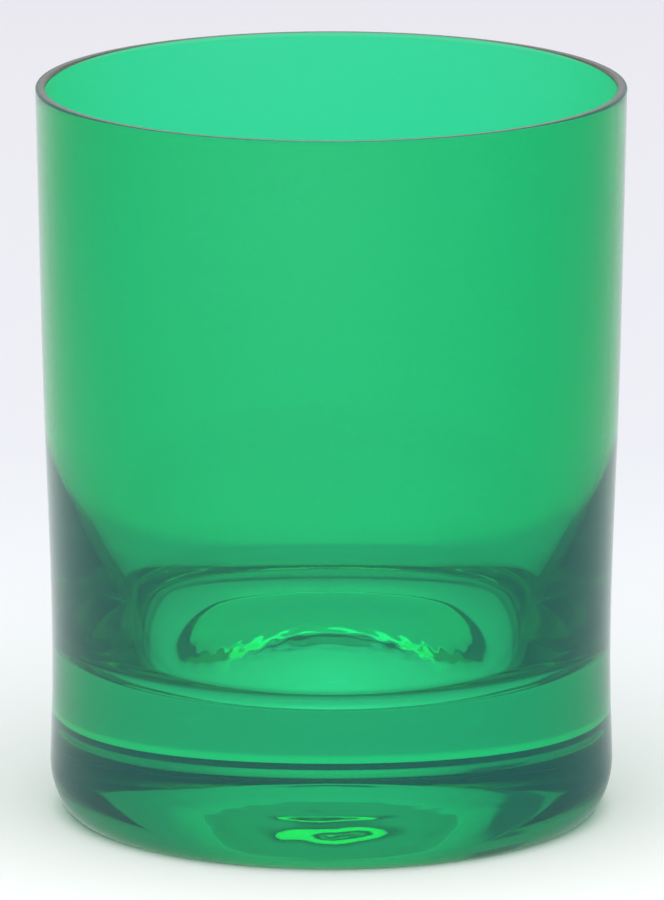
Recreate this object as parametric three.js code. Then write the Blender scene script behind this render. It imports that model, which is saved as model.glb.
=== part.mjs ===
// Double old fashioned glass: a heavy straight-sided tumbler of clear glass, cased on the outside
// with a thin layer of green glass. The clear layer carries the drinking cavity, the thick solid
// base and the underside, which is ground flat round a wide polished hollow.
// The green layer is one shell over the wall and the rounded foot, and ends at the ground face.
// Millimetres, +Z up, origin at the centre of the foot on the table.

import * as THREE from "three";
import { mergeVertices } from "three/addons/utils/BufferGeometryUtils.js";

// Overall size
const HEIGHT = 107.5;
const RIM_DIAMETER = 86.0;

// Outside of the wall: it flares a little from a slight waist above the foot
const SHOULDER_DIAMETER = 84.2;
const SHOULDER_HEIGHT = 64.0;
const WAIST_DIAMETER = 81.9;
const WAIST_HEIGHT = 23.0;
const FOOT_DIAMETER = 82.6;

// Rounded corner between the wall and the underside. Grinding the underside flat has taken the
// bottom off it, through the green layer and a little into the clear glass.
const FOOT_CORNER_HEIGHT = 7.6;
const FOOT_CORNER_WIDTH = 5.0;
const GROUND_PAST_CASING = 0.2;

// Hollow polished out of the flat underside. A power of 1 gives a plain bowl with a sharp edge,
// and a higher power lets the bowl run out softly into the flat.
const HOLLOW_DIAMETER = 56.0;
const HOLLOW_DEPTH = 5.4;
const HOLLOW_POWER = 1.5;

// Drinking cavity: an even wall, a taper below it that thickens the wall, and a domed floor
const RIM_WALL = 1.5;
const LOWER_WALL = 1.7;
const BASE_THICKNESS = 21.9;
const TAPER_TOP_HEIGHT = 59.0;
const TAPER_BLEND_RADIUS = 70.0;
const TAPER_ANGLE = THREE.MathUtils.degToRad(17);
const FLOOR_CORNER_RADIUS = 7.0;
const FLOOR_RISE = 0.5;

// Green casing and the polished rim
const CASING_THICKNESS = 0.4;
const OUTER_ARRIS = 0.25;
const INNER_ARRIS = 0.35;

// Facets
const FACETS_AROUND = 72;
const CURVE_SAMPLES = 400;
const HOLLOW_STEPS = 8;
const FOOT_STEPS = 7;
const OUTER_WALL_STEPS = 9;
const INNER_WALL_STEPS = 5;
const BLEND_STEPS = 4;
const FLOOR_CORNER_STEPS = 6;
const FLOOR_STEPS = 4;
const ARRIS_STEPS = 2;
const WELD = 1e-4;

// Look
const GREEN = 0x1fb66c;
const GREEN_OPACITY = 0.6;
const CLEAR = 0xe9f3ee;
const CLEAR_OPACITY = 0.35;
const POLISH = 0.03;

const quarter = Math.PI / 2;
const point = (r, z) => new THREE.Vector2(r, z);

// Smooth curve through (height, radius) pairs, given from low to high, as a radius at a height.
function radiusCurve(pairs) {
  const curve = new THREE.CatmullRomCurve3(
    pairs.map(([z, r]) => new THREE.Vector3(z, r, 0)),
    false,
    "centripetal",
  );
  const points = curve.getPoints(CURVE_SAMPLES);
  return (z) => {
    const next = points.findIndex((p) => p.x >= z);
    const i = next < 0 ? CURVE_SAMPLES : Math.max(1, next);
    const [a, b] = [points[i - 1], points[i]];
    return a.y + ((b.y - a.y) * (z - a.x)) / (b.x - a.x);
  };
}

const outerRadius = radiusCurve([
  [FOOT_CORNER_HEIGHT, FOOT_DIAMETER / 2],
  [WAIST_HEIGHT, WAIST_DIAMETER / 2],
  [SHOULDER_HEIGHT, SHOULDER_DIAMETER / 2],
  [HEIGHT, RIM_DIAMETER / 2],
]);

// Points at even shares of the way from 0 to 1, without the one at 0.
function along(steps, at) {
  return Array.from({ length: steps }, (_, i) => at((i + 1) / steps));
}

// Part of an ellipse about a centre, from one angle to another, without its first point.
function arc(centre, width, height, from, to, steps) {
  return along(steps, (share) => {
    const a = from + (to - from) * share;
    return point(
      centre.x + width * Math.cos(a),
      centre.y + height * Math.sin(a),
    );
  });
}

// One face of the green layer, from its ground edge, round the foot and up the wall to a height.
// An inset of 0 gives the outside, and the casing's thickness gives the face fused to the clear.
function layerFace(inset, top) {
  const centre = point(
    FOOT_DIAMETER / 2 - FOOT_CORNER_WIDTH,
    FOOT_CORNER_HEIGHT,
  );
  const width = FOOT_CORNER_WIDTH - inset;
  const height =
    FOOT_CORNER_HEIGHT + CASING_THICKNESS + GROUND_PAST_CASING - inset;
  const start = -Math.asin(FOOT_CORNER_HEIGHT / height);
  const edge = point(centre.x + width * Math.cos(start), 0);
  const wall = along(OUTER_WALL_STEPS, (share) => {
    const z = THREE.MathUtils.lerp(FOOT_CORNER_HEIGHT, top, share);
    return point(outerRadius(z) - inset, z);
  });
  return [edge, ...arc(centre, width, height, start, 0, FOOT_STEPS), ...wall];
}

// The hollow of the underside, from the axis out to its edge in the ground face.
function hollow() {
  const slope = along(HOLLOW_STEPS, (share) => {
    const rise = (1 - share ** 2) ** HOLLOW_POWER;
    return point((HOLLOW_DIAMETER / 2) * share, HOLLOW_DEPTH * rise);
  });
  return [point(0, HOLLOW_DEPTH), ...slope];
}

// The cavity from the rim's top, down the wall and the taper to the floor on the axis.
function cavity() {
  const rimRadius = RIM_DIAMETER / 2 - RIM_WALL;
  const arrisCentre = point(rimRadius + INNER_ARRIS, HEIGHT - INNER_ARRIS);
  const wall = along(INNER_WALL_STEPS, (share) => {
    const z = THREE.MathUtils.lerp(arrisCentre.y, TAPER_TOP_HEIGHT, share);
    const thickness = THREE.MathUtils.lerp(RIM_WALL, LOWER_WALL, share);
    return point(outerRadius(z) - thickness, z);
  });
  const blendCentre = point(
    wall.at(-1).x - TAPER_BLEND_RADIUS,
    TAPER_TOP_HEIGHT,
  );
  const blend = arc(
    blendCentre,
    TAPER_BLEND_RADIUS,
    TAPER_BLEND_RADIUS,
    0,
    -TAPER_ANGLE,
    BLEND_STEPS,
  );
  const coneTop = blend.at(-1);
  const coneFoot = point(
    0,
    BASE_THICKNESS + FLOOR_CORNER_RADIUS * (1 - Math.sin(TAPER_ANGLE)),
  );
  coneFoot.x = coneTop.x - (coneTop.y - coneFoot.y) * Math.tan(TAPER_ANGLE);
  const floorRadius = coneFoot.x - FLOOR_CORNER_RADIUS * Math.cos(TAPER_ANGLE);
  const corner = arc(
    point(floorRadius, BASE_THICKNESS + FLOOR_CORNER_RADIUS),
    FLOOR_CORNER_RADIUS,
    FLOOR_CORNER_RADIUS,
    -TAPER_ANGLE,
    -quarter,
    FLOOR_CORNER_STEPS,
  );
  const floor = along(FLOOR_STEPS, (share) => {
    const out = 1 - share;
    return point(
      floorRadius * out,
      BASE_THICKNESS + FLOOR_RISE * (1 - out ** 2) ** 2,
    );
  });
  return [
    point(arrisCentre.x, HEIGHT),
    ...arc(
      arrisCentre,
      INNER_ARRIS,
      INNER_ARRIS,
      quarter,
      2 * quarter,
      ARRIS_STEPS,
    ),
    ...wall,
    ...blend,
    coneFoot,
    ...corner,
    ...floor,
  ];
}

// A closed solid of revolution about Z from a (radius, height) line, with the seam merged.
function revolve(line) {
  const lathe = new THREE.LatheGeometry(line, FACETS_AROUND);
  lathe.deleteAttribute("normal");
  lathe.deleteAttribute("uv");
  lathe.rotateX(quarter);
  return mergeVertices(lathe, WELD);
}

function piece(name, line, colour, opacity) {
  const material = new THREE.MeshStandardMaterial({
    color: colour,
    roughness: POLISH,
    metalness: 0,
    transparent: true,
    opacity,
  });
  const mesh = new THREE.Mesh(revolve(line), material);
  mesh.name = name;
  return mesh;
}

const skin = layerFace(0, HEIGHT - OUTER_ARRIS);
const seam = layerFace(CASING_THICKNESS, HEIGHT);

// Rim of the casing: its outer edge is eased, and its top is level with the clear layer.
const casingRim = arc(
  point(skin.at(-1).x - OUTER_ARRIS, HEIGHT - OUTER_ARRIS),
  OUTER_ARRIS,
  OUTER_ARRIS,
  0,
  quarter,
  ARRIS_STEPS,
);

const glass = new THREE.Group();
glass.add(
  piece(
    "clear_body",
    [...hollow(), ...seam, ...cavity()],
    CLEAR,
    CLEAR_OPACITY,
  ),
  piece(
    "green_casing",
    [...skin, ...casingRim, ...seam.toReversed(), skin[0]],
    GREEN,
    GREEN_OPACITY,
  ),
);

export default glass;
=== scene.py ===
# Double old fashioned glass: a heavy hand-made tumbler of clear glass under a thin layer of
# green glass, standing on a pale table. The sections follow the making: the green layer,
# the clear body that is blown inside it, then the table, the room, the lamp and the camera.

import math
import bpy
import numpy as np
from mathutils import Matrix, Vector, noise


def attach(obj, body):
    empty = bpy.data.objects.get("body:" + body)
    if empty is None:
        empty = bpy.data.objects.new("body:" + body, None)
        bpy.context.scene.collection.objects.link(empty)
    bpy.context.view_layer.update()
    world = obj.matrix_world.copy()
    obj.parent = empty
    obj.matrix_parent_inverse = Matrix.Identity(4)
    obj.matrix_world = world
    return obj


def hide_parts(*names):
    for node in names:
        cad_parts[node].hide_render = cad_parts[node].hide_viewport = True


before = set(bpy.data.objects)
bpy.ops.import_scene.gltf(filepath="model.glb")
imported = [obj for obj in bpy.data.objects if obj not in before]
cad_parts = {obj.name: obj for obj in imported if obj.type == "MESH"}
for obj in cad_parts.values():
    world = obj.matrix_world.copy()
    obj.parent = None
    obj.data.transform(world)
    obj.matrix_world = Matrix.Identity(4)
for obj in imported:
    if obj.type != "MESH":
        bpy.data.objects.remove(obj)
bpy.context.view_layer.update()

# The green layer: transparent emerald glass, 0.4 mm thick, picked up on the outside of the
# gather before blowing. It goes up the wall to the polished rim, and round the foot to
# where the underside was ground flat through it. Sizes are in millimetres.

MM = 0.001
HEIGHT = 107.5
RIM_RADIUS = 43.0
SHOULDER = (64.0, 42.1)
WAIST = (23.0, 40.95)
FOOT_RADIUS = 41.3
FOOT_CORNER_HEIGHT = 7.6
FOOT_CORNER_WIDTH = 5.0
LAYER = 0.4
GROUND_PAST_LAYER = 0.2
OUTER_ROUND = (0.3, 0.4)
FACETS = 256
FOOT_CORNER_STEPS = 40
OUTER_WALL_STEPS = 70
RIM_STEPS = 14
SAME_POINT = 1e-7
ON_AXIS = 1e-6
SHARP_TURN = math.radians(35)


def outer_radius(z):
    """Radius of the outside at a height: a slight waist above the foot, then a slow flare."""
    heights = np.array([FOOT_CORNER_HEIGHT, WAIST[0], SHOULDER[0], HEIGHT])
    radii = np.array([FOOT_RADIUS, WAIST[1], SHOULDER[1], RIM_RADIUS])
    steps = np.diff(heights)
    slopes = np.diff(radii) / steps
    turning = slopes[:-1] * slopes[1:] <= 0
    middle = np.where(turning, 0, (slopes[:-1] + slopes[1:]) / 2)
    ends = np.concatenate([slopes[:1], middle, slopes[-1:]])
    z = np.asarray(z, float)
    i = np.clip(np.searchsorted(heights, z) - 1, 0, len(steps) - 1)
    t = (z - heights[i]) / steps[i]
    start = (2 * t**3 - 3 * t**2 + 1) * radii[i]
    start_slope = (t**3 - 2 * t**2 + t) * steps[i] * ends[i]
    stop = (-2 * t**3 + 3 * t**2) * radii[i + 1]
    stop_slope = (t**3 - t**2) * steps[i] * ends[i + 1]
    return start + start_slope + stop + stop_slope


def arc(centre, width, height, start, stop, steps):
    """Points on an ellipse about a centre, in (radius, height)."""
    a = np.linspace(start, stop, steps)
    return np.stack([centre[0] + width * np.cos(a), centre[1] + height * np.sin(a)], 1)


def layer_face(inset, top):
    """The outside, or a face set in from it, from the ground edge up the wall to a height."""
    width = FOOT_CORNER_WIDTH - inset
    height = FOOT_CORNER_HEIGHT + LAYER + GROUND_PAST_LAYER - inset
    centre = (FOOT_RADIUS - FOOT_CORNER_WIDTH, FOOT_CORNER_HEIGHT)
    ground = -math.asin(FOOT_CORNER_HEIGHT / height)
    corner = arc(centre, width, height, ground, 0, FOOT_CORNER_STEPS)
    z = np.linspace(FOOT_CORNER_HEIGHT, top, OUTER_WALL_STEPS)[1:]
    return np.concatenate([corner, np.stack([outer_radius(z) - inset, z], 1)])


def turned(name, runs, material):
    """A solid of revolution. Each run is a line of (radius, height), and 1 where it is fused."""
    line = []
    fused = []
    for run, joined in runs:
        for p in run:
            if not line or not np.allclose(p, line[-1], atol=SAME_POINT):
                line.append(tuple(p))
                fused.append(joined)
    closed = np.allclose(line[0], line[-1], atol=SAME_POINT)
    if closed:
        line.pop()
        fused.pop()
    verts = []
    rings = []
    angles = np.linspace(0, 2 * math.pi, FACETS, endpoint=False)
    for r, z in line:
        if r < ON_AXIS:
            rings.append([len(verts)])
            verts.append((0, 0, z * MM))
        else:
            rings.append(list(range(len(verts), len(verts) + FACETS)))
            verts += [(r * math.cos(a) * MM, r * math.sin(a) * MM, z * MM) for a in angles]
    pairs = [(i, i + 1) for i in range(len(line) - 1)]
    if closed:
        pairs.append((len(line) - 1, 0))
    faces = []
    masks = []
    for a, b in pairs:
        low = rings[a]
        high = rings[b]
        for i in range(FACETS):
            j = (i + 1) % FACETS
            if len(low) == 1:
                faces.append((low[0], high[j], high[i]))
            elif len(high) == 1:
                faces.append((low[i], low[j], high[0]))
            else:
                faces.append((low[i], low[j], high[j], high[i]))
            masks.append(fused[b])
    mesh = bpy.data.meshes.new(name)
    mesh.from_pydata(verts, [], faces)
    mesh.materials.append(material)
    mesh.attributes.new("fused", "FLOAT", "FACE").data.foreach_set("value", masks)
    mesh.polygons.foreach_set("use_smooth", [True] * len(faces))
    mesh.update()
    mesh.set_sharp_from_angle(angle=SHARP_TURN)
    piece = bpy.data.objects.new(name, mesh)
    bpy.context.scene.collection.objects.link(piece)
    return piece


class Flow:
    """A socket in a material. Sums on it add Math nodes, and node() adds any other node."""

    def __init__(self, tree, socket=None):
        self.tree = tree
        self.socket = socket

    def node(self, kind, inputs=None, output=0, stops=None, **settings):
        made = self.tree.nodes.new(kind)
        for name, value in settings.items():
            setattr(made, name, value)
        if stops:
            ramp = made.color_ramp.elements
            ramp[0].position = stops[0][0]
            ramp[1].position = stops[-1][0]
            for place, _ in stops[1:-1]:
                ramp.new(place)
            for place, look in stops:
                stop = min(ramp, key=lambda e: abs(e.position - place))
                stop.color = (*look, 1) if isinstance(look, tuple) else (look, look, look, 1)
        for name, value in (inputs or {}).items():
            if isinstance(value, Flow):
                self.tree.links.new(value.socket, made.inputs[name])
            elif isinstance(value, tuple) and made.inputs[name].type == "RGBA":
                made.inputs[name].default_value = (*value, 1)
            else:
                made.inputs[name].default_value = value
        return Flow(self.tree, made.outputs[output] if made.outputs else None)

    def sum(self, operation, first, second):
        return self.node("ShaderNodeMath", {0: first, 1: second}, operation=operation)

    def __add__(self, other):
        return self.sum("ADD", self, other)

    __radd__ = __add__

    def __mul__(self, other):
        return self.sum("MULTIPLY", self, other)

    __rmul__ = __mul__

    def __sub__(self, other):
        return self.sum("SUBTRACT", self, other)

    def __rsub__(self, other):
        return self.sum("SUBTRACT", other, self)

    def __truediv__(self, other):
        return self.sum("DIVIDE", self, other)

    def __gt__(self, other):
        return self.sum("GREATER_THAN", self, other)

    def mixed(self, first, second):
        """Goes from the first colour to the second as this value goes from 0 to 1."""
        return self.node("ShaderNodeMix", {0: self, 6: first, 7: second}, 2, data_type="RGBA")

    def tinted(self, other):
        """This colour times another colour or a value."""
        return self.node(
            "ShaderNodeMix",
            {0: 1.0, 6: self, 7: other},
            2,
            data_type="RGBA",
            blend_type="MULTIPLY",
        )

    def ramp(self, stops):
        """The colour or value that the stops give for this value."""
        return self.node("ShaderNodeValToRGB", {0: self}, stops=stops)

    def axis(self, name):
        """One axis of this vector."""
        return self.node("ShaderNodeSeparateXYZ", {0: self}, name)


def material_tree(name):
    """A new empty material, and the start of its nodes."""
    material = bpy.data.materials.new(name)
    material.use_nodes = True
    material.node_tree.nodes.clear()
    return material, Flow(material.node_tree)


# TINT is what one crossing of the layer lets through. A share of it sits at the outer skin,
# and the rest is soaked up on the way through. The haze is the layer's faint outer bloom.
TINT = np.array([0.02, 0.775, 0.375])
SKIN_SHARE = 0.25
SKIN_UNEVEN = 0.2
SLANT_TINT = (0.70, 0.68, 0.76)
HAZE = 0.083
HAZE_COLOUR = (0.02, 0.90, 0.84)
HAZE_UNEVEN = 0.15
STREAK_SCALE = 22.0
STREAK_DETAIL = 2.0
GLASS_IOR = 1.52

skin_tint = TINT ** (2 * SKIN_SHARE)
soak = -np.log(TINT) * (1 - SKIN_SHARE) / (LAYER * MM)
soak_density = float(soak.max())
soak_colour = tuple(float(v) for v in 1 - soak / soak.max())


def pass_where_fused(tree, shader):
    """Two layers fused face to face have no surface between them, so light goes straight on."""
    mask = tree.node("ShaderNodeAttribute", output="Fac", attribute_name="fused")
    straight_on = tree.node("ShaderNodeBsdfTransparent")
    return tree.node("ShaderNodeMixShader", {0: mask, 1: shader, 2: straight_on})


def green_glass():
    """Green glass, a little streaky, deeper where it is seen at a slant, with a faint haze."""
    material, tree = material_tree("green_glass")
    place = tree.node("ShaderNodeTexCoord", output="Object")
    streak = tree.node(
        "ShaderNodeTexNoise", {"Vector": place, "Scale": STREAK_SCALE, "Detail": STREAK_DETAIL}
    )
    deep = tuple(float(v) for v in skin_tint ** (1 + SKIN_UNEVEN))
    pale = tuple(float(v) for v in skin_tint ** (1 - SKIN_UNEVEN))
    tint = streak.mixed(deep, pale)
    slant = tree.node("ShaderNodeLayerWeight", output="Facing")
    shader = tree.node(
        "ShaderNodeBsdfPrincipled",
        {
            "Base Color": slant.mixed(tint, tint.tinted(SLANT_TINT)),
            "Roughness": 0.0,
            "IOR": GLASS_IOR,
            "Transmission Weight": 1.0,
        },
    )
    veil = tree.node("ShaderNodeBsdfDiffuse", {"Color": HAZE_COLOUR})
    amount = HAZE * (1 - HAZE_UNEVEN + 2 * HAZE_UNEVEN * streak)
    shader = tree.node("ShaderNodeMixShader", {0: amount, 1: shader, 2: veil})
    green = tree.node(
        "ShaderNodeVolumeAbsorption", {"Color": soak_colour, "Density": soak_density}
    )
    shader = pass_where_fused(tree, shader)
    tree.node("ShaderNodeOutputMaterial", {"Surface": shader, "Volume": green})
    return material


skin = layer_face(0, HEIGHT - OUTER_ROUND[1])
seam = layer_face(LAYER, HEIGHT)
round_centre = (skin[-1, 0] - OUTER_ROUND[0], HEIGHT - OUTER_ROUND[1])
layer_rim = arc(round_centre, *OUTER_ROUND, 0, math.pi / 2, RIM_STEPS)

green = turned(
    "green_layer",
    [(skin, 0), (layer_rim, 0), (seam[-1:], 0), (seam[::-1], 1), (skin[:1], 0)],
    green_glass(),
)
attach(green, "root")
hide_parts("green_casing")

# The clear body: the blown gather of clear glass inside the green layer. It carries the
# thin wall, the taper that thickens it, the heavy solid base and the drinking cavity.
# The rim is cut and polished, and the underside ground flat round a wide polished hollow.

HOLLOW_RADIUS = 28.0
HOLLOW_DEPTH = 5.4
HOLLOW_POWER = 1.5
RINGS = 11
RING_DEPTH = 0.01
RIPPLE_WIDTH = 4.5
RIPPLE_LENGTH = 1.7
RIPPLE_DEPTH = 0.026
RIM_WALL = 1.5
LOWER_WALL = 1.7
BASE = 21.9
TAPER_TOP = 59.0
TAPER_BLEND = 70.0
TAPER_ANGLE = math.radians(17)
FLOOR_CORNER = 7.0
FLOOR_RISE = 0.5
INNER_ROUND = (0.5, 0.6)
SEAM_GAP = 0.02
HOLLOW_STEPS = 90
GROUND_STEPS = 6
INNER_WALL_STEPS = 36
BLEND_STEPS = 30
CONE_STEPS = 12
FLOOR_CORNER_STEPS = 40
FLOOR_STEPS = 40


def underside(edge):
    """From the axis over the hollow, which runs out softly, then across the ground face."""
    t = np.linspace(0, 1, HOLLOW_STEPS)
    rise = HOLLOW_DEPTH * (1 - t**2) ** HOLLOW_POWER
    rings = RING_DEPTH * np.sin(2 * math.pi * RINGS * t) * np.sin(math.pi * t) ** 2
    hollow = np.stack([HOLLOW_RADIUS * t, rise + rings], 1)
    across = np.linspace(HOLLOW_RADIUS, edge, GROUND_STEPS)
    return np.concatenate([hollow, np.stack([across, np.zeros(GROUND_STEPS)], 1)])


def cavity():
    """From the rim down the wall, the taper and the corner of the floor to the axis."""
    centre = (RIM_RADIUS - RIM_WALL + INNER_ROUND[0], HEIGHT - INNER_ROUND[1])
    rim = arc(centre, *INNER_ROUND, math.pi / 2, math.pi, RIM_STEPS)
    share = np.linspace(0, 1, INNER_WALL_STEPS)[1:]
    z = centre[1] + (TAPER_TOP - centre[1]) * share
    wall = np.stack([outer_radius(z) - RIM_WALL - (LOWER_WALL - RIM_WALL) * share, z], 1)
    centre = (wall[-1, 0] - TAPER_BLEND, TAPER_TOP)
    blend = arc(centre, TAPER_BLEND, TAPER_BLEND, 0, -TAPER_ANGLE, BLEND_STEPS)
    corner_top = BASE + FLOOR_CORNER * (1 - math.sin(TAPER_ANGLE))
    z = np.linspace(blend[-1, 1], corner_top, CONE_STEPS)
    cone = np.stack([blend[-1, 0] - (blend[-1, 1] - z) * math.tan(TAPER_ANGLE), z], 1)
    floor_radius = cone[-1, 0] - FLOOR_CORNER * math.cos(TAPER_ANGLE)
    centre = (floor_radius, BASE + FLOOR_CORNER)
    turn = (-TAPER_ANGLE, -math.pi / 2)
    corner = arc(centre, FLOOR_CORNER, FLOOR_CORNER, *turn, FLOOR_CORNER_STEPS)
    t = np.linspace(1, 0, FLOOR_STEPS)
    floor = np.stack([floor_radius * t, BASE + FLOOR_RISE * (1 - t**2) ** 2], 1)
    return np.concatenate([rim, wall, blend, cone, corner, floor])


CLEAR_COOL = (0.98, 1.0, 0.99)
CLEAR_PALE = (1.0, 1.0, 1.0)
CORD_SCALE = 30.0
CORD_DETAIL = 1.0
FILM = 0.06
FILM_COLOUR = (0.9, 0.9, 0.9)
FILM_UNEVEN = 0.3
FILM_BELOW = 0.25
FILM_FROM = 25 * MM
FILM_REACH = 20 * MM


def clear_glass():
    """Clear glass with faint cords in it, and a thin film, mostly on the wall of the cavity."""
    material, tree = material_tree("clear_glass")
    place = tree.node("ShaderNodeTexCoord", output="Object")
    cord = tree.node(
        "ShaderNodeTexNoise", {"Vector": place, "Scale": CORD_SCALE, "Detail": CORD_DETAIL}
    )
    shader = tree.node(
        "ShaderNodeBsdfPrincipled",
        {
            "Base Color": cord.mixed(CLEAR_COOL, CLEAR_PALE),
            "Roughness": 0.0,
            "IOR": GLASS_IOR,
            "Transmission Weight": 1.0,
        },
    )
    film = tree.node("ShaderNodeBsdfDiffuse", {"Color": FILM_COLOUR})
    upper = tree.node("ShaderNodeClamp", {0: (place.axis("Z") - FILM_FROM) / FILM_REACH})
    amount = FILM * (1 - FILM_UNEVEN + 2 * FILM_UNEVEN * cord)
    amount = amount * (FILM_BELOW + (1 - FILM_BELOW) * upper)
    shader = tree.node("ShaderNodeMixShader", {0: amount, 1: shader, 2: film})
    tree.node("ShaderNodeOutputMaterial", {"Surface": pass_where_fused(tree, shader)})
    return material


# A hair of space between the two fused faces keeps their order clear to the renderer.
inner_seam = layer_face(LAYER + SEAM_GAP, HEIGHT)
clear = turned(
    "clear_glass_body",
    [(underside(inner_seam[0, 0]), 0), (inner_seam, 1), (cavity(), 0)],
    clear_glass(),
)
for spot in clear.data.vertices:
    across = math.hypot(spot.co.x, spot.co.y) / MM
    if across < HOLLOW_RADIUS and spot.co.z < BASE / 2 * MM:
        share = 1 - (across / HOLLOW_RADIUS) ** 2
        ripple_place = Vector((spot.co.x / RIPPLE_WIDTH, spot.co.y / RIPPLE_LENGTH, 0)) / MM
        ripple = noise.noise(ripple_place)
        spot.co.z += RIPPLE_DEPTH * MM * share * ripple
clear.data.update()
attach(clear, "root")
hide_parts("clear_body")

# The table: a plain pale matt sheet that the glass stands on, with painted shade for the lamp's
# falloff: lighter in front, darker behind.
# Through the glass it glows with painted light: green under the foot, a painted shadow just
# outside it, and white beyond.
# In the gloss it shows a painted reflection, bright behind the glass and dimmer at the sides.
# Metres from here on.

TABLE_RADIUS = 1.5
TABLE_SIDES = 64
TABLE_DROP = 0.05 * MM
# Painted shade: the table's colour is lighter in front and darker and cooler behind, standing in
# for the lamp's falloff.
TABLE_PAINTED_FALLOFF = [
    (0.0, (1.0, 1.0, 0.99)),
    (0.12, (0.95, 0.96, 0.95)),
    (0.2, (0.88, 0.90, 0.905)),
    (0.5, (0.775, 0.79, 0.83)),
    (1.0, (0.81, 0.805, 0.85)),
]
PAINTED_FALLOFF_FROM = -0.06
PAINTED_FALLOFF_REACH = 0.6
# Painted light: glass rays see the table glow in these colours, a painted green glow under the
# foot, a painted shadow just outside it, and white beyond.
PAINTED_GLOW_THROUGH_GLASS = [
    (0.0, (0.62, 0.97, 0.62)),
    (0.08, (0.56, 0.88, 0.54)),
    (0.16, (0.46, 0.74, 0.43)),
    (0.25, (0.32, 0.54, 0.32)),
    (0.30, (0.24, 0.42, 0.22)),
    (0.32, (0.11, 0.20, 0.12)),
    (0.345, (0.40, 0.50, 0.42)),
    (0.40, (0.48, 0.55, 0.58)),
    (0.50, (0.55, 0.60, 0.70)),
    (0.68, (0.57, 0.62, 0.73)),
    (0.76, (0.92, 0.92, 0.93)),
    (0.90, (0.99, 0.99, 1.0)),
]
SHADE_REACH = 0.12
# Painted reflection: glossy rays see the table glow, bright behind the glass, dimmer at the
# sides and a little dimmer to the right.
GLOSS_NEAR = [(0.0, 0.56), (0.4, 0.50), (0.6, 0.56), (0.76, 0.76), (0.9, 1.0), (1.0, 0.98)]
GLOSS_FAR = [
    (0.0, 0.78),
    (0.08, 0.69),
    (0.2, 0.61),
    (0.36, 0.48),
    (0.55, 0.39),
    (0.71, 0.41),
    (0.81, 0.58),
    (0.91, 0.90),
    (0.94, 0.97),
    (1.0, 0.98),
]
GLOSS_FROM = 0.12
GLOSS_REACH = 0.33
GLOSS_LEVEL = 0.92
GLOSS_LESS_TO_RIGHT = 0.12

ring = [2 * math.pi * i / TABLE_SIDES for i in range(TABLE_SIDES)]
mesh = bpy.data.meshes.new("table")
corners = [(TABLE_RADIUS * math.cos(a), TABLE_RADIUS * math.sin(a), -TABLE_DROP) for a in ring]
mesh.from_pydata(corners, [], [tuple(range(TABLE_SIDES))])
table = bpy.data.objects.new("table", mesh)
bpy.context.scene.collection.objects.link(table)

material, tree = material_tree("table_sheet")
place = tree.node("ShaderNodeNewGeometry", output="Position")
distance = tree.node("ShaderNodeVectorMath", {0: place}, "Value", operation="LENGTH")
outward = tree.node("ShaderNodeVectorMath", {0: place}, operation="NORMALIZE")
# The diffuse colour is painted shade along the depth of the table, lightest in front.
painted_falloff = ((place.axis("Y") - PAINTED_FALLOFF_FROM) / PAINTED_FALLOFF_REACH).ramp(TABLE_PAINTED_FALLOFF)
paint = tree.node("ShaderNodeBsdfDiffuse", {"Color": painted_falloff})
# An emission for glass rays: painted glow and painted shadow, set by the distance from the
# glass's axis.
seen = (distance / SHADE_REACH).ramp(PAINTED_GLOW_THROUGH_GLASS)
through = tree.node("ShaderNodeEmission", {"Color": seen})
behind = outward.axis("Y") * 0.5 + 0.5
away_share = tree.node("ShaderNodeClamp", {0: (distance - GLOSS_FROM) / GLOSS_REACH})
# An emission for glossy rays: a painted reflection of the table, not lit by the lamp.
painted_gloss_tone = away_share.mixed(behind.ramp(GLOSS_NEAR), behind.ramp(GLOSS_FAR))
painted_gloss_tone = painted_gloss_tone.tinted(GLOSS_LEVEL - GLOSS_LESS_TO_RIGHT * outward.axis("X"))
painted_reflection = tree.node("ShaderNodeEmission", {"Color": painted_gloss_tone})
gloss_ray = tree.node("ShaderNodeLightPath", output="Is Glossy Ray")
glass_ray = tree.node("ShaderNodeLightPath", output="Is Transmission Ray")
shader = tree.node("ShaderNodeMixShader", {0: gloss_ray, 1: paint, 2: painted_reflection})
shader = tree.node("ShaderNodeMixShader", {0: glass_ray, 1: shader, 2: through})
tree.node("ShaderNodeOutputMaterial", {"Surface": shader})
mesh.materials.append(material)

# The room: plain pale surroundings, even from every side. Through the glass they show a
# dark line along the horizon, a pale wall behind the glass with one dim patch, dark walls
# at the sides, two dark high corners, and a white ceiling.

ROOM = (0.64, 0.64, 0.65)
BACKDROP = (0.90, 0.90, 0.93)
ROOM_IN_GLOSS = [(0.0, 0.5), (0.2, 0.64), (0.5, 0.6), (1.0, 0.6)]
HORIZON_LINE = (0.02, 0.04, 0.07)
ABOVE_LINE = [(0.0, 0.0), (0.09, 0.0), (0.115, 1.0), (1.0, 1.0)]
WALL_SPREAD = [
    (0.0, (0.02, 0.04, 0.07)),
    (0.26, (0.02, 0.04, 0.07)),
    (0.50, (0.32, 0.38, 0.42)),
    (0.88, (0.34, 0.38, 0.42)),
    (0.94, (0.42, 0.46, 0.50)),
    (0.978, (0.58, 0.62, 0.66)),
    (1.0, (0.66, 0.70, 0.74)),
]
DIM_PATCH = (0.08, 0.12, 0.16)
DIM_ACROSS = [(0.0, 0.0), (0.205, 0.0), (0.225, 1.0), (0.30, 1.0), (0.32, 0.0), (1.0, 0.0)]
DIM_UPWARD = [(0.0, 0.0), (0.19, 0.0), (0.22, 1.0), (0.50, 1.0), (0.56, 0.0), (1.0, 0.0)]
CORNER = (0.04, 0.08, 0.11)
CORNER_ACROSS = [(0.0, 1.0), (0.72, 1.0), (0.80, 0.0), (1.0, 0.0)]
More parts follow.
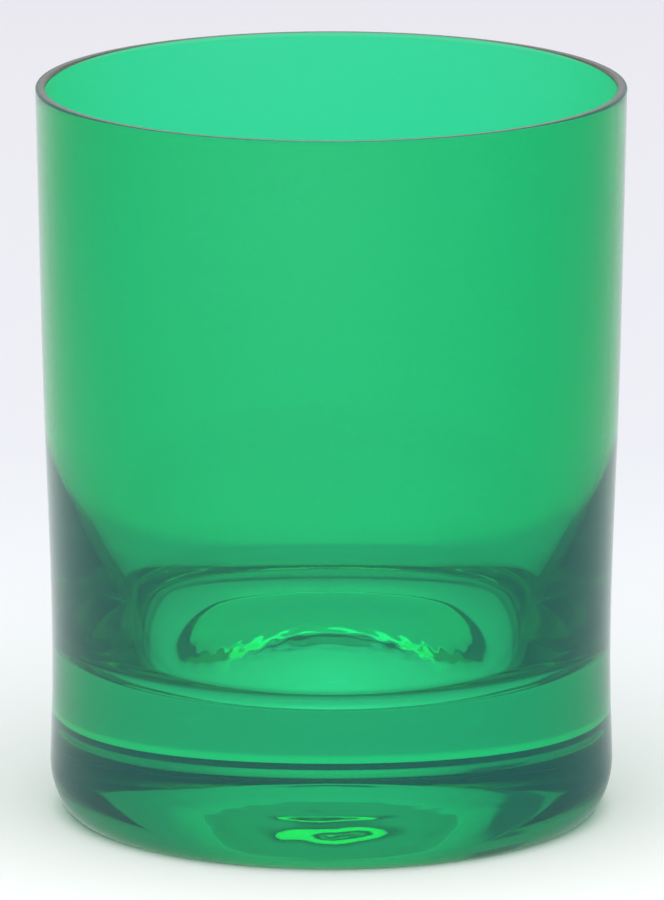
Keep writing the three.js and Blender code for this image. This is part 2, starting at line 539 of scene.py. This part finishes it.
CORNER_UPWARD = [(0.0, 0.0), (0.44, 0.0), (0.50, 1.0), (0.63, 1.0), (0.72, 0.0), (1.0, 0.0)]
CEILING = (0.92, 0.92, 0.92)
INTO_CEILING = [(0.0, 0.0), (0.50, 0.0), (0.82, 1.0), (1.0, 1.0)]

room = bpy.data.worlds.new("room")
bpy.context.scene.world = room
room.use_nodes = True
room.node_tree.nodes.clear()
tree = Flow(room.node_tree)
direction = tree.node("ShaderNodeTexCoord", output="Generated")
up = direction.axis("Z")
level = tree.node("ShaderNodeVectorMath", {0: direction, 1: (1, 1, 0)}, operation="MULTIPLY")
level = tree.node("ShaderNodeVectorMath", {0: level}, operation="NORMALIZE")
behind = level.axis("Y")
across = level.axis("X") * 0.5 + 0.5
dim = across.ramp(DIM_ACROSS) * up.ramp(DIM_UPWARD) * (behind > 0)
walls = dim.mixed(behind.ramp(WALL_SPREAD), DIM_PATCH)
walls = up.ramp(ABOVE_LINE).mixed(HORIZON_LINE, walls)
in_glass = up.ramp(INTO_CEILING).mixed(walls, CEILING)
corner = behind.ramp(CORNER_ACROSS) * up.ramp(CORNER_UPWARD)
in_glass = corner.mixed(in_glass, CORNER)
camera_ray = tree.node("ShaderNodeLightPath", output="Is Camera Ray")
gloss_ray = tree.node("ShaderNodeLightPath", output="Is Glossy Ray")
glass_ray = tree.node("ShaderNodeLightPath", output="Is Transmission Ray")
look = camera_ray.mixed(ROOM, BACKDROP)
look = gloss_ray.mixed(look, up.ramp(ROOM_IN_GLOSS))
look = glass_ray.mixed(look, in_glass)
shader = tree.node("ShaderNodeBackground", {"Color": look, "Strength": 1.0})
tree.node("ShaderNodeOutputWorld", {"Surface": shader})

# The lamp: one large round soft box over the glass, a little in front, for a short soft
# shadow. It shows through the glass, and isn't mirrored on it.

LAMP_SIZE = 2.4
LAMP_PLACE = Vector((0, -0.46, 1.6))
LAMP_AIM = Vector((0, -0.46, 0))
LAMP_RADIANCE = 1.22

lamp_data = bpy.data.lights.new("soft_box", "AREA")
lamp_data.shape = "ELLIPSE"
lamp_data.size = LAMP_SIZE
lamp_data.size_y = LAMP_SIZE
lamp_data.energy = LAMP_RADIANCE * math.pi * LAMP_SIZE**2
lamp = bpy.data.objects.new("soft_box", lamp_data)
lamp.location = LAMP_PLACE
lamp.rotation_euler = (LAMP_AIM - LAMP_PLACE).to_track_quat("-Z", "Y").to_euler()
lamp.visible_glossy = False
bpy.context.scene.collection.objects.link(lamp)

# The camera: a long lens from 1.7 m, looking down on the glass by about 12.6 degrees. The
# aim is off the middle of the glass by as much as the photograph's framing is.

DISTANCE = 1.6969
ELEVATION = 0.2196
LENS = 464.5
FRAME_SENSOR = 36
PIXEL = 0.1461 * MM
AIM_RIGHT = 0.7 * PIXEL
AIM_DOWN = 3.5 * PIXEL

lens = bpy.data.cameras.new("camera")
lens.sensor_width = FRAME_SENSOR
lens.lens = LENS
lens.dof.use_dof = False
camera = bpy.data.objects.new("camera", lens)
bpy.context.scene.collection.objects.link(camera)
bpy.context.scene.camera = camera
up_picture = Vector((0, math.sin(ELEVATION), math.cos(ELEVATION)))
away = Vector((0, -math.cos(ELEVATION), math.sin(ELEVATION)))
aim = Vector((0, 0, HEIGHT / 2 * MM)) + Vector((AIM_RIGHT, 0, 0)) - up_picture * AIM_DOWN
camera.location = aim + away * DISTANCE
camera.rotation_euler = (-away).to_track_quat("-Z", "Y").to_euler()

# The light goes through many faces of the base before it leaves it.
scene = bpy.context.scene
scene.view_settings.view_transform = "Standard"
scene.cycles.max_bounces = 40
scene.cycles.transmission_bounces = 40
scene.cycles.transparent_max_bounces = 64
scene.cycles.glossy_bounces = 8
scene.cycles.diffuse_bounces = 4
